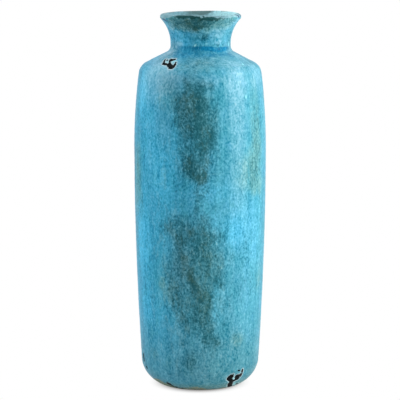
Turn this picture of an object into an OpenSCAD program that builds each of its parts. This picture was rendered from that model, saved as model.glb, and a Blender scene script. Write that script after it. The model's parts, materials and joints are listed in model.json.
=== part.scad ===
// Stoneware vase: a tall bottle form with a round shoulder, a short neck and a flared lip.
// It is built as a tall pot is: five thrown sections are luted end to end with slip, a dark slip
// coats the outside, a turquoise glaze covers that, and a second glaze lines the inside.
// The wall is one chain of tangent arcs. Every coat and section is a band of that chain at a depth
// below the finished surface, so they all follow the same sizes and meet face to face.
// Origin: centre of the foot, on the table. +Z is up and -Y is the front. Millimetres.

/* [Body] */
// Height from the table to the top of the lip
height = 480; // [450:1:530]
// Widest diameter of the body
belly_d = 169; // [155:1:185]
// Height of the widest place above the table
belly_z = 307; // [290:1:330]
// Radius of the long curve from the widest place down to the foot
lower_sweep = 4400; // [2400:50:6000]
// Radius of the curve from the widest place up to the shoulder
upper_sweep = 790; // [650:5:1200]
// Radius of the round corner above the foot
foot_round = 35.5; // [30:0.5:42]
// Radius of the round corner at the shoulder
shoulder_round = 16.5; // [13:0.5:22]
// Fall of the shoulder slope below level, in degrees
shoulder_slope = 27; // [22:0.5:32]

/* [Neck] */
// Narrowest outside diameter of the neck
neck_d = 76.6; // [66:0.2:88]
// Height of the neck, from the hollow at its root to the top of the lip
neck_h = 41; // [34:0.5:46]
// Length of the straight stretch above the hollow
neck_straight = 3; // [2.5:0.5:6]
// Radius of the hollow where the neck leaves the shoulder
neck_fillet = 9; // [7:0.5:14]
// Radius of the curve that flares out to the lip
flare_round = 46; // [41:0.5:60]

/* [Wall] */
// Whole thickness of the wall at the lip, coats included
wall = 8; // [7:0.1:10]
// Thickness of the clay floor
floor_t = 9; // [7:0.5:14]
// Radius of the inside corner between floor and wall
floor_round = 30; // [22:0.5:36]

/* [Foot] */
// Width of the ring that stands on the table
foot_ring_w = 11; // [8:0.5:16]
// Depth of the hollow under the floor
foot_well = 4; // [2:0.5:7]
// How far the side of the hollow leans inwards
foot_well_lean = 3; // [1:0.5:5]
// Height of the foot that is left without glaze
bare_foot_h = 5.5; // [3:0.5:9]

/* [Coats] */
// Thickness of the turquoise glaze
glaze_t = 0.9; // [0.6:0.05:1.2]
// Thickness of the dark slip under the glaze
dark_slip_t = 0.5; // [0.3:0.05:0.8]
// Thickness of the glaze that lines the inside
liner_t = 0.8; // [0.5:0.05:0.9]

/* [Luted joints] */
// Thickness of the slip in a joint
joint_slip_t = 0.4; // [0.3:0.05:0.8]
// Depth of the groove in the lower section, and of the rib that seats in it
groove_depth = 1.8; // [1:0.1:2.2]
// Width of the groove at its mouth
groove_w = 3.2; // [2.6:0.1:3.6]
// Width of the groove at its bottom
groove_bottom_w = 1.4; // [0.8:0.1:2]
// Height of the base joint above the inside corner of the floor
base_joint_rise = 3; // [2:0.5:12]
// Height of the waist joint above the table
waist_joint_z = 281; // [180:1:300]
// Distance of the shoulder joint below the round of the shoulder
shoulder_joint_drop = 9; // [6:0.5:20]

/* [Chips in the glaze] */
// Angle of the shoulder chip round the vase, from the front towards +X
shoulder_chip_az = -38; // [-180:1:180]
// Distance of the shoulder chip up the slope from the round of the shoulder
shoulder_chip_up = 8; // [5:0.5:14]
// Angle of the foot chip round the vase
foot_chip_az = 39; // [-180:1:180]
// Angle of the foot chip on the foot corner, 0 facing level and -90 facing down
foot_chip_tilt = -32; // [-40:1:-15]
// Angle of the lip chip round the vase
lip_chip_az = 77; // [-180:1:180]
// Angle of the lip chip on the round of the lip, 0 facing level and 90 facing up
lip_chip_tilt = 27; // [0:1:60]
// Angle of the two nicks at the glaze line round the vase
glaze_line_nick_az = -36; // [-180:1:180]
// Angle of the spots on the foot corner round the vase
foot_spot_az = -80; // [-180:1:180]
// Angle of the spots on the foot corner, 0 facing level and -90 facing down
foot_spot_tilt = -11; // [-25:1:-5]

/* [Hidden] */
$fn = 128;

// Facets in each arc of the profile
arc_steps = 14;
// Reach of the cutting outlines past the solids that they cut
past = 5;

clay_colour = "#8a6a4f";
slip_colour = "#a08468";
dark_slip_colour = "#1e2022";
glaze_colour = "#46a0b4";
liner_colour = "#7fb3b5";

coat_t = glaze_t + dark_slip_t;
lip_r = wall / 2;
belly_r = belly_d / 2;
neck_r = neck_d / 2;

// The barrel: two arcs that meet at the widest place, where both run upright.
low_c = [belly_r - lower_sweep, belly_z];
up_c = [belly_r - upper_sweep, belly_z];

// The foot corner touches the table and the inside of the lower sweep.
foot_reach = lower_sweep - foot_round;
foot_c = [low_c.x + sqrt(foot_reach ^ 2 - (belly_z - foot_round) ^ 2), foot_round];
foot_end = atan2(foot_c.y - low_c.y, foot_c.x - low_c.x);
bare_end = asin(bare_foot_h / foot_round - 1);

// The shoulder slope leaves the hollow of the neck and runs down to the shoulder corner,
// which touches the slope and the upper sweep.
slope_down = [cos(shoulder_slope), -sin(shoulder_slope)];
slope_out = [sin(shoulder_slope), cos(shoulder_slope)];
hollow_c = [neck_r + neck_fillet, height - neck_h];
slope_top = hollow_c - neck_fillet * slope_out;
from_sweep = slope_top - shoulder_round * slope_out - up_c;
along_slope = from_sweep * slope_down;
slope_len = sqrt(along_slope ^ 2 - from_sweep * from_sweep + (upper_sweep - shoulder_round) ^ 2) - along_slope;
slope_end = slope_top + slope_len * slope_down;
shoulder_c = slope_end - shoulder_round * slope_out;
shoulder_start = atan2(shoulder_c.y - up_c.y, shoulder_c.x - up_c.x);
shoulder_end = 90 - shoulder_slope;

// The flare starts upright at the throat and ends in the half round of the lip.
flare_c = [neck_r + flare_round, hollow_c.y + neck_straight];
flare_turn = asin((height - lip_r - flare_c.y) / (flare_round + lip_r));
lip_c = flare_c + (flare_round + lip_r) * [-cos(flare_turn), sin(flare_turn)];

// The inside corner touches the floor and the inside of the lower sweep.
floor_z = foot_well + floor_t + coat_t;
inside_reach = lower_sweep - wall - floor_round;
inside_c = [low_c.x + sqrt(inside_reach ^ 2 - (belly_z - floor_z - floor_round) ^ 2), floor_z + floor_round];
inside_end = atan2(inside_c.y - low_c.y, inside_c.x - low_c.x);

// A stretch of the profile is [centre, radius, first angle, last angle, side].
// Its side is 1 where the clay lies towards the centre, and -1 where it lies away from it.
bare_run = [
    [foot_c, foot_round, -90, bare_end, 1]
];
glazed_run = [
    [foot_c, foot_round, bare_end, foot_end, 1],
    [low_c, lower_sweep, foot_end, 0, 1],
    [up_c, upper_sweep, 0, shoulder_start, 1],
    [shoulder_c, shoulder_round, shoulder_start, shoulder_end, 1],
    [hollow_c, neck_fillet, 180 + shoulder_end, 180, -1],
    [flare_c, flare_round, 180, 180 - flare_turn, -1],
    [lip_c, lip_r, -flare_turn, 180 - flare_turn, 1],
    [flare_c, flare_round + wall, 180 - flare_turn, 180, 1]
];
liner_run = [
    [hollow_c, neck_fillet + wall, 180, 180 + shoulder_end, 1],
    [shoulder_c, shoulder_round - wall, shoulder_end, shoulder_start, -1],
    [up_c, upper_sweep - wall, shoulder_start, 0, -1],
    [low_c, lower_sweep - wall, 0, inside_end, -1],
    [inside_c, floor_round, inside_end, -90, -1]
];

// Points of a run of stretches at a depth below the finished surface.
// The straight stretches are the lines from the end of one arc to the start of the next.
function run_points(run, depth) = [
    for (s = run, i = [0 : arc_steps])
        let (a = s[2] + (s[3] - s[2]) * i / arc_steps)
            s[0] + (s[1] - s[4] * depth) * [cos(a), sin(a)]
];

function reversed(points) = [for (i = [len(points) - 1 : -1 : 0]) points[i]];

// Points of the inside, from the throat down the wall and over the floor to the axis.
function inside_points(depth) = concat(
    [[neck_r - wall + depth, flare_c.y]],
    run_points(liner_run, depth),
    [[0, floor_z - depth]]
);

// The clay of the whole pot: bare at the foot, and below the coats everywhere else.
ring_in_r = foot_c.x - foot_ring_w;
clay_outline = concat(
    run_points(bare_run, 0),
    run_points(glazed_run, coat_t),
    inside_points(coat_t),
    [[0, foot_well], [ring_in_r - foot_well_lean, foot_well], [ring_in_r, 0]]
);

// Radius of the middle of the barrel's wall at a height.
function barrel_mid_r(z) =
    let (c = z < belly_z ? low_c : up_c, sweep = belly_r - c.x)
        c.x + sqrt((sweep - wall / 2) ^ 2 - (z - belly_z) ^ 2);

// A luted joint is [height, radius of the middle of the wall].
base_joint_z = floor_z + floor_round + base_joint_rise;
shoulder_joint_z = shoulder_c.y - shoulder_joint_drop;
base_joint = [base_joint_z, barrel_mid_r(base_joint_z)];
waist_joint = [waist_joint_z, barrel_mid_r(waist_joint_z)];
shoulder_joint = [shoulder_joint_z, barrel_mid_r(shoulder_joint_z)];
neck_joint = [hollow_c.y + groove_depth - joint_slip_t, neck_r - wall / 2];

// Line of a joint across the wall, lifted by the slip where it bounds the section above.
function joint_line(joint, lift) =
    let (z = joint[0] + lift, r = joint[1])
    [
        [0, z],
        [r - groove_w / 2, z],
        [r - groove_bottom_w / 2, z - groove_depth],
        [r + groove_bottom_w / 2, z - groove_depth],
        [r + groove_w / 2, z],
        [belly_r + past, z]
    ];

function level_line(z) = [[0, z], [belly_r + past, z]];

// Lobes of the chips: [across the surface, up the surface, radius].
shoulder_chip_lobes = [
    [-12, 4.5, 2.2], [-10, 0.5, 2.4], [-7, -2.5, 2.4], [-3, -3.5, 2.4], [1, -4, 2.6], [4.5, -5.5, 2.8],
    [8, -7.5, 3], [10.5, -4, 2.4], [9.5, 0, 1.9], [-1, -1, 2.6], [-5, 6.5, 1.8], [-2, 7, 1.8], [1.5, 8.5, 1.8]
];
foot_chip_lobes = [
    [-8.5, 4, 3], [-6.5, 0, 2.6], [-4, -4, 2.8], [-2.5, -8.5, 3.2], [-1.5, -1, 2.2], [2, 0, 2.2],
    [5.5, 3, 2], [8, 6, 2], [10, 9.5, 1.4], [3.5, 12.5, 1.2], [9, -9, 1.4]
];
lip_chip_lobes = [[-3, 0, 1.6], [0, 0.5, 2], [3, 0, 1.6]];
glaze_line_nick_lobes = [[-4.5, 0, 2], [-2.5, 1, 1.6], [4, 1, 1.8]];
foot_spot_lobes = [[-5, 3, 1.6], [-4, -1.5, 1.4], [6, -3, 1.4]];

// Depth and rise of a chip's cut at its middle: it clears the glaze where the surface curves away.
chip_depth = 4;
chip_rise = 3;

// A point on a round of the profile, with the angle that the surface faces there.
function on_round(centre, radius, tilt) = [centre + radius * [cos(tilt), sin(tilt)], tilt];

module chip(azimuth, place, lobes) {
    rotate(azimuth)
        translate([0, -place[0].x, place[0].y])
            rotate([90 - place[1], 0, 0])
                translate([0, 0, -chip_depth])
                    linear_extrude(chip_depth + chip_rise)
                        for (lobe = lobes)
                            translate([lobe[0], lobe[1]])
                                circle(lobe[2], $fn = 32);
}

// Turns the band between two lines of points about the axis.
module turned_band(first, second) {
    rotate_extrude()
        polygon(concat(first, reversed(second)));
}

// Turns the part of the clay that lies between two lines across the wall.
module clay_section(lower_line, upper_line) {
    rotate_extrude()
        intersection() {
            polygon(clay_outline);
            polygon(concat(lower_line, reversed(upper_line)));
        }
}

module joint_slip(joint) {
    color(slip_colour)
        clay_section(joint_line(joint, 0), joint_line(joint, joint_slip_t));
}

module base() {
    color(clay_colour)
        clay_section(level_line(-past), joint_line(base_joint, 0));
}

module lower_wall() {
    color(clay_colour)
        clay_section(joint_line(base_joint, joint_slip_t), joint_line(waist_joint, 0));
}

module upper_wall() {
    color(clay_colour)
        clay_section(joint_line(waist_joint, joint_slip_t), joint_line(shoulder_joint, 0));
}

module shoulder() {
    color(clay_colour)
        clay_section(joint_line(shoulder_joint, joint_slip_t), joint_line(neck_joint, 0));
}

module neck() {
    color(clay_colour)
        clay_section(joint_line(neck_joint, joint_slip_t), level_line(height + past));
}

module base_joint_slip() {
    joint_slip(base_joint);
}

module waist_joint_slip() {
    joint_slip(waist_joint);
}

module shoulder_joint_slip() {
    joint_slip(shoulder_joint);
}

module neck_joint_slip() {
    joint_slip(neck_joint);
}

module dark_slip_coat() {
    color(dark_slip_colour)
        turned_band(run_points(glazed_run, glaze_t), run_points(glazed_run, coat_t));
}

module turquoise_glaze() {
    color(glaze_colour)
        difference() {
            turned_band(run_points(glazed_run, 0), run_points(glazed_run, glaze_t));
            chip(shoulder_chip_az, [slope_end - shoulder_chip_up * slope_down, shoulder_end], shoulder_chip_lobes);
            chip(foot_chip_az, on_round(foot_c, foot_round, foot_chip_tilt), foot_chip_lobes);
            chip(lip_chip_az, on_round(lip_c, lip_r, lip_chip_tilt), lip_chip_lobes);
            chip(glaze_line_nick_az, on_round(foot_c, foot_round, bare_end), glaze_line_nick_lobes);
            chip(foot_spot_az, on_round(foot_c, foot_round, foot_spot_tilt), foot_spot_lobes);
        }
}

module liner_glaze() {
    color(liner_colour)
        turned_band(inside_points(coat_t - liner_t), inside_points(coat_t));
}

base();
lower_wall();
upper_wall();
shoulder();
neck();
base_joint_slip();
waist_joint_slip();
shoulder_joint_slip();
neck_joint_slip();
dark_slip_coat();
turquoise_glaze();
liner_glaze();
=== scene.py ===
# %% [markdown]
# A tall stoneware vase: a bottle form with a round shoulder, a short neck and a flared lip.
# A turquoise glaze lies over a dark slip, and a few chips in the glaze bare that slip.
# The solids of the vase are loaded first as a fixed frame, in metres, with the foot on the table at
# the origin and the front towards -Y. Only the two glazes are shaped again here, because they carry
# what a solid of even thickness lacks: a wavy lower edge, chips with a broken rim, faint throwing
# rings and a lip that isn't quite level.

import json
import math

import bpy
import numpy as np
from mathutils import Matrix, Vector


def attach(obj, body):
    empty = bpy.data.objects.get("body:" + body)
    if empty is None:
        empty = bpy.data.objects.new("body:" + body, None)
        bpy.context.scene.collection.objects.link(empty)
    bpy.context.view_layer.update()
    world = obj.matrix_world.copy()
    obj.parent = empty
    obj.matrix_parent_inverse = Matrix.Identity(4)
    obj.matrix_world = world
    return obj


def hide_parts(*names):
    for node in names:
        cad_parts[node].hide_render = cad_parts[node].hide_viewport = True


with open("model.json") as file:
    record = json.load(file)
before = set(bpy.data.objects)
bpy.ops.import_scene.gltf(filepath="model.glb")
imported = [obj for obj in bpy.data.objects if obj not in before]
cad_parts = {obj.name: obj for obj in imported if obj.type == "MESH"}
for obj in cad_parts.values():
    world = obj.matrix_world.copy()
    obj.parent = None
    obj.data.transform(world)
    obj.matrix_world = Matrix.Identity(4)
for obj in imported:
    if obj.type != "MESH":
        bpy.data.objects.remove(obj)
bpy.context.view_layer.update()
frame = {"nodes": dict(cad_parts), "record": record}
nodes = frame["nodes"]
MM = 0.001
print("solids:", ", ".join(sorted(nodes)))

# %% [markdown]
# The wall of a thrown pot is a turned profile. It could be drawn as a Bezier curve by eye, but this
# vase reads as a chain of arcs that touch without a corner: foot, long lower sweep, upper sweep,
# shoulder, straight slope, hollow of the neck, flare and lip. Points of the profile are complex
# numbers, radius + i * height, so an arc is centre + radius * e^(i * angle). The sizes are the ones
# that the solids have, in millimetres.

# %% Sizes of the turned form
height = 480.0
belly_r = 84.5
belly_z = 307.0
lower_sweep = 4400.0
upper_sweep = 790.0
foot_round = 35.5
shoulder_round = 16.5
shoulder_slope = math.radians(27.0)
neck_r = 38.3
neck_h = 41.0
neck_straight = 3.0
neck_fillet = 9.0
flare_round = 46.0
wall = 8.0
lip_r = wall / 2
foot_well = 4.0
floor_t = 9.0
floor_round = 30.0
bare_foot_h = 5.5
glaze_t = 0.9
dark_slip_t = 0.5
liner_t = 0.8
coat_t = glaze_t + dark_slip_t
print("lip wall", wall, "mm, coats", coat_t, "mm")

# %% Centres and angles of the arcs
low_c = complex(belly_r - lower_sweep, belly_z)
up_c = complex(belly_r - upper_sweep, belly_z)
foot_reach = lower_sweep - foot_round
foot_c = complex(low_c.real + math.sqrt(foot_reach**2 - (belly_z - foot_round) ** 2), foot_round)
foot_end = np.angle(foot_c - low_c)

slope_down = np.exp(-1j * shoulder_slope)
slope_out = 1j * slope_down
hollow_c = complex(neck_r + neck_fillet, height - neck_h)
slope_top = hollow_c - neck_fillet * slope_out
from_sweep = slope_top - shoulder_round * slope_out - up_c
along_slope = (from_sweep * slope_down.conjugate()).real
shoulder_reach = upper_sweep - shoulder_round
slope_len = math.sqrt(along_slope**2 - abs(from_sweep) ** 2 + shoulder_reach**2) - along_slope
shoulder_c = slope_top + slope_len * slope_down - shoulder_round * slope_out
shoulder_start = np.angle(shoulder_c - up_c)
shoulder_end = math.pi / 2 - shoulder_slope

flare_c = complex(neck_r + flare_round, hollow_c.imag + neck_straight)
flare_turn = math.asin((height - lip_r - flare_c.imag) / (flare_round + lip_r))
lip_c = flare_c - (flare_round + lip_r) * np.exp(-1j * flare_turn)

floor_z = foot_well + floor_t + coat_t
inside_reach = lower_sweep - wall - floor_round
inside_z = floor_z + floor_round
inside_c = complex(low_c.real + math.sqrt(inside_reach**2 - (belly_z - inside_z) ** 2), inside_z)
inside_end = np.angle(inside_c - low_c)
print("shoulder slope", round(slope_len, 1), "mm long")
print("lip", round(lip_c.real + lip_r, 1), "mm from the axis")


# %% A profile that can be read at any length along it
def arc_points(centre, radius, start, end, step=0.2):
    """Points of an arc, about step mm apart: centre + radius * e^(i * angle)."""
    angle = np.linspace(start, end, 3 + int(radius * abs(end - start) / step))
    return centre + radius * np.exp(1j * angle)


class Profile:
    """A chain of arcs as one line, measured by the length s along it from its first point.
    Its point at s is read off the fine chain, and its normal is the tangent turned by -90 degrees,
    which points out of the pot where the line runs up the outside."""

    def __init__(self, arcs, first=None, last=None):
        fine = [arc_points(*arc) for arc in arcs]
        ends = [[] if point is None else [np.array([point])] for point in (first, last)]
        chain = np.concatenate(ends[0] + fine + ends[1])
        keep = np.concatenate([[True], np.abs(np.diff(chain)) > 1e-6])
        self.chain = chain[keep]
        self.s = np.concatenate([[0], np.cumsum(np.abs(np.diff(self.chain)))])
        tangent = np.gradient(self.chain, self.s)
        self.out = -1j * tangent / np.abs(tangent)
        self.length = self.s[-1]

    def at(self, s, depth=0.0):
        """Point at length s, moved in from the surface by depth."""
        return np.interp(s, self.s, self.chain) - depth * self.normal(s)

    def normal(self, s):
        """Unit normal at length s."""
        along = np.interp(s, self.s, self.out)
        return along / np.abs(along)

    def s_at_height(self, z, upto):
        """Length at which the line, rising over its first stretch of that length, reaches a height."""
        rising = self.s <= upto
        return np.interp(z, self.chain.imag[rising], self.s[rising])


throat = complex(neck_r - wall, flare_c.imag)
throat_lap = 0.8
outside = Profile(
    [
        (foot_c, foot_round, -math.pi / 2, foot_end),
        (low_c, lower_sweep, foot_end, 0.0),
        (up_c, upper_sweep, 0.0, shoulder_start),
        (shoulder_c, shoulder_round, shoulder_start, shoulder_end),
        (hollow_c, neck_fillet, math.pi + shoulder_end, math.pi),
        (flare_c, flare_round, math.pi, math.pi - flare_turn),
        (lip_c, lip_r, -flare_turn, math.pi - flare_turn),
        (flare_c, flare_round + wall, math.pi - flare_turn, math.pi),
    ],
    last=throat - 1j * throat_lap,
)
inside = Profile(
    [
        (hollow_c, neck_fillet + wall, math.pi, math.pi + shoulder_end),
        (shoulder_c, shoulder_round - wall, shoulder_end, shoulder_start),
        (up_c, upper_sweep - wall, shoulder_start, 0.0),
        (low_c, lower_sweep - wall, 0.0, inside_end),
        (inside_c, floor_round, inside_end, -math.pi / 2),
    ],
    first=throat,
    last=complex(0.0, floor_z),
)
glaze_line_s = outside.s_at_height(bare_foot_h, 100.0)
crest_s = outside.s[np.argmax(outside.chain.imag)]
print("outside line", round(outside.length, 1), "mm, lip crest at", round(crest_s, 1), "mm")
print("top", round(outside.chain.imag.max(), 2), "mm, widest", round(outside.chain.real.max(), 2), "mm")

# %% [markdown]
# A turned surface is a grid: rows along the profile, columns round the axis. An even grid fine enough
# for a chip of a few millimetres would need millions of faces, so the rows and columns are graded.
# The wanted spacing is small at the chips and the lip and grows with distance from them, and the
# places are where the running count of spacings passes whole numbers. A row is a length in mm along the
# outside line: about 20 at the glaze line, 327 at the widest place, 450 on the shoulder's slope, 481 at
# the foot of the neck and 528 on the lip. A column is an azimuth in degrees, 0 at the front and 90 on
# the right.


# %% Graded rows and columns
def graded(first, last, coarse, spots, growth=0.22):
    """Places from first to last. Inside a spot (centre, reach, step) they lie step apart; outside it
    the spacing grows by growth for each unit of distance, up to coarse."""
    x = np.linspace(first, last, 12000)
    spacing = np.full_like(x, coarse)
    for centre, reach, step in spots:
        beyond = np.maximum(np.abs(x - centre) - reach, 0.0)
        spacing = np.minimum(spacing, step + growth * beyond)
    middle = 2.0 / (spacing[1:] + spacing[:-1])
    count = np.concatenate([[0.0], np.cumsum(middle * np.diff(x))])
    return np.interp(np.linspace(0.0, count[-1], int(round(count[-1])) + 1), count, x)


fine_rows = {
    "foot chip": (34.0, 19.0, 0.55),
    "shoulder chip": (450.0, 13.0, 0.55),
    "level mark": (306.0, 2.0, 1.2),
    "pool at the neck": (474.0, 11.0, 1.1),
    "lip": (522.0, 10.0, 0.7),
}
fine_columns = {
    "shoulder chip": (-38.0, 15.0, 0.55),
    "foot chip": (39.0, 16.0, 0.55),
    "lip chip": (77.0, 15.0, 1.0),
    "foot spots": (-70.0, 12.0, 1.0),
    "front": (0.0, 4.0, 1.0),
}
coarse_row = 4.0
coarse_column = 2.7
glaze_rows = graded(glaze_line_s, outside.length, coarse_row, fine_rows.values())
glaze_columns = graded(-180.0, 180.0, coarse_column, fine_columns.values())[:-1]
print("glaze grid:", len(glaze_rows), "rows by", len(glaze_columns), "columns")

# %% [markdown]
# One function turns any grid of profile points into a mesh. It takes a whole array of complex points,
# one column for each angle round the axis, so a point may differ from one angle to the next, and it
# numbers all faces with array indices. A coat is a closed shell: its line runs along the face, round
# the edge, back along the underside and round the other edge.


# %% Mesh from a turned grid
def turned(points, azimuth):
    """Places of complex points r + iz: x = r sin(azimuth), y = -r cos(azimuth), z = z."""
    turn = np.radians(azimuth)
    return np.stack([points.real * np.sin(turn), -points.real * np.cos(turn), points.imag], axis=-1)


def turned_piece(name, points, azimuth, pole=False, fields=None):
    """Mesh of a grid of complex points in mm, rows along the line and columns round the axis. The rows
    close to a ring, unless pole is set: then the first and last rows are single points on the axis.
    Fields become point attributes."""
    place = turned(points, azimuth[None, :])
    rows, columns = points.shape
    index = np.arange(rows * columns).reshape(rows, columns)
    if pole:
        index[0] = index[0, 0]
        index[-1] = index[-1, 0]
    else:
        index = np.vstack([index, index[:1]])
    index = np.hstack([index, index[:, :1]])
    corners = [index[:-1, :-1], index[:-1, 1:], index[1:, 1:], index[1:, :-1]]
    used, quads = np.unique(np.stack(corners, axis=-1), return_inverse=True)
    quads = quads.reshape(-1, 4)
    low_pole = quads[:, 0] == quads[:, 1]
    high_pole = quads[:, 2] == quads[:, 3]
    plain = ~(low_pole | high_pole)
    faces = quads[plain].tolist() + quads[low_pole][:, 1:].tolist() + quads[high_pole][:, :3].tolist()
    mesh = bpy.data.meshes.new(name)
    mesh.from_pydata((place.reshape(-1, 3)[used] * MM).tolist(), [], faces)
    mesh.polygons.foreach_set("use_smooth", np.ones(len(faces), dtype=bool))
    for key, values in (fields or {}).items():
        layer = mesh.attributes.new(key, "FLOAT", "POINT")
        layer.data.foreach_set("value", values.reshape(-1)[used].astype(np.float32))
    mesh.validate()
    piece = bpy.data.objects.new(name, mesh)
    bpy.context.scene.collection.objects.link(piece)
    print(name, "has", len(mesh.vertices), "points and", len(faces), "faces")
    return piece


# %% [markdown]
# Hand work is uneven. Seeded noise gives that unevenness to the shapes: random values sit on a
# lattice, and smooth weights blend them, so the same numbers come out on every run. It is read at
# places on the vase in millimetres, so it has no seam at the back.


# %% Uneven hand work
def hand_noise(place, size, seed):
    """Smooth noise from -1 to 1 whose lumps are about size mm across: values on a cubic lattice, blended
    by t * t * (3 - 2 t) along each side of the cell."""
    cells = 48
    lattice = np.random.default_rng(seed).uniform(-1.0, 1.0, (cells, cells, cells))
    cell = place / size
    base = np.floor(cell).astype(int)
    t = cell - base
    t = t * t * (3.0 - 2.0 * t)
    total = np.zeros(place.shape[:-1])
    for corner in np.ndindex(2, 2, 2):
        side = np.array(corner)
        weight = np.where(side == 1, t, 1.0 - t).prod(axis=-1)
        pick = (base + side) % cells
        total += weight * lattice[pick[..., 0], pick[..., 1], pick[..., 2]]
    return total


def ease(x, low, high):
    """Smoothstep: 0 at low and 1 at high, whichever is the larger, and 3 t^2 - 2 t^3 between them."""
    t = np.clip((x - low) / (high - low), 0.0, 1.0)
    return t * t * (3.0 - 2.0 * t)


def bell(x, width, power=2):
    """1 at x = 0, falling to both sides as e^-(x / width)^power."""
    return np.exp(-((x / width) ** power))


# %% Places on the face of the glaze
face_s, face_az = np.meshgrid(glaze_rows, glaze_columns, indexing="ij")
face_line = outside.at(face_s)
face_r = face_line.real
face_z = face_line.imag
face_turn = np.radians(face_az)
face_place = turned(face_line, face_az)
print("noise of 30 mm lumps at the back:", hand_noise(face_place, 30.0, 1)[0, 0].round(2))


def tell(what, where):
    """Print how many grid points of the face lie in something."""
    print(what, "on", int(where.sum()), "grid points")


# %% [markdown]
# A chip is where a knock has taken the glaze off down to the dark slip. Its outline is ragged, with
# arms and small islands of glaze left standing. It could be cut with a boolean, which leaves torn
# triangles; here it is a distance field instead. Each arm is a stroke with a half-width, the field is
# the least distance to any stroke, and the surface sinks where the field is negative.


# %% Chips as distance fields
def off(azimuth):
    """Angle from that azimuth, from -180 to 180 degrees."""
    return (face_az - azimuth + 180.0) % 360.0 - 180.0


def stroke_field(strokes, azimuth, middle_s, rise=1.0):
    """Signed distance in mm to a set of strokes (u0, v0, u1, v1, half-width), u across and v up the
    surface from the chip's middle, with v stretched by rise. Negative inside a stroke."""
    u = np.radians(off(azimuth)) * face_r
    v = (face_s - middle_s) / rise
    nearest = np.full(u.shape, 99.0)
    for u0, v0, u1, v1, half in strokes:
        du = u1 - u0
        dv = v1 - v0
        t = np.clip(((u - u0) * du + (v - v0) * dv) / max(du * du + dv * dv, 1e-9), 0.0, 1.0)
        nearest = np.minimum(nearest, np.hypot(u - u0 - t * du, v - v0 - t * dv) - half)
    return nearest


# %% Chip on the slope of the shoulder
shoulder_chip_at = (-38.4, 449.6, 1.44)
shoulder_strokes = [
    (-8.9, -1.0, -8.0, -1.2, 1.9), (-8.9, -1.0, -11.4, 2.2, 1.5), (-11.4, 2.2, -13.2, 4.4, 1.1),
    (-13.2, 4.4, -13.0, 5.8, 0.8), (-8.6, 4.4, -7.6, 4.0, 1.1), (-8.9, -1.2, 0.9, -2.7, 1.7),
    (0.4, -0.4, 5.0, -3.6, 2.0), (2.5, -3.0, 9.4, -5.6, 2.3), (8.0, -6.2, 11.4, -6.2, 2.4),
    (11.0, -5.4, 10.4, -2.4, 2.0), (10.4, -2.4, 8.3, 1.6, 1.0), (-1.2, 1.9, 0.3, 0.0, 1.0),
    (-1.4, 2.6, -4.0, 5.9, 1.6), (-3.6, 5.4, 2.6, 6.0, 1.6), (-2.4, 4.2, 0.2, 4.8, 1.8),
]
shoulder_chip = stroke_field(shoulder_strokes, *shoulder_chip_at)
tell("shoulder chip", shoulder_chip < 0)

# %% Chip on the foot corner
foot_chip_at = (37.5, 36.0, 0.9)
foot_strokes = [
    (-7.6, 4.4, -6.4, 5.8, 4.3), (-5.2, 7.2, -3.9, 9.4, 1.6), (-6.2, 1.6, -1.5, -2.6, 2.8),
    (-1.5, -2.6, 4.3, -0.5, 2.3), (4.8, 2.1, 9.2, 4.9, 3.5), (3.2, 5.0, 5.2, 5.4, 3.0),
    (4.2, -0.4, 7.2, 0.8, 2.8), (9.7, 6.0, 11.4, 10.2, 2.5), (11.4, 10.2, 11.9, 13.2, 1.9),
    (11.9, 13.2, 11.4, 14.8, 1.2), (-2.2, -6.2, 1.2, -10.8, 3.6), (1.0, -11.4, 5.4, -14.4, 2.4),
    (-3.0, -3.2, -2.1, -6.3, 2.4), (13.0, -10.8, 15.8, -11.4, 1.6),
]
foot_chip = stroke_field(foot_strokes, *foot_chip_at)
foot_dot = stroke_field([(4.2, 14.4, 6.2, 13.8, 1.1)], *foot_chip_at)
tell("foot chip", foot_chip < 0)

# %% Small breaks at the lip, the foot corner and the glaze line
lip_strokes = [
    (-11.4, 3.5, -8.1, 1.6, 1.5), (-8.1, 1.6, -5.9, -1.7, 1.8), (5.9, 4.0, 1.7, -0.5, 1.7),
]
lip_chip = stroke_field(lip_strokes, 77.0, 524.0)
lip_nick = stroke_field([(-1.0, 2.6, 4.0, 1.8, 1.3), (4.0, 1.8, 6.4, -0.4, 1.1)], -67.0, 516.2)
foot_spots = stroke_field([(-3.8, 11.0, -2.2, 4.5, 2.4), (5.0, -3.6, 5.3, -3.6, 2.2)], -71.5, 50.0)
line_strokes = [
    (-9.6, 6.0, -5.6, 5.2, 1.9), (-6.5, 2.6, -2.8, 1.8, 1.2), (-1.0, 0.8, 1.6, 0.4, 1.2),
    (3.2, -0.4, 6.4, -1.0, 0.7), (8.0, -1.0, 9.5, -1.4, 1.0),
]
glaze_line_nicks = stroke_field(line_strokes, -31.5, 24.0)
tell("nicks at the glaze line", glaze_line_nicks < 0)

# %% Ragged edges of the chips
chip_edge = 0.35 * hand_noise(face_place, 1.3, 11) + 0.3 * hand_noise(face_place, 3.1, 12)
chips = np.minimum(shoulder_chip, foot_chip) + chip_edge
nicks = np.minimum.reduce([foot_spots, foot_dot, glaze_line_nicks]) + chip_edge
slate = np.minimum(lip_chip, lip_nick) + chip_edge
chip_depth = 0.75
nick_depth = 0.4
tell("bared slip", np.minimum(chips, nicks) < 0)
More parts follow.
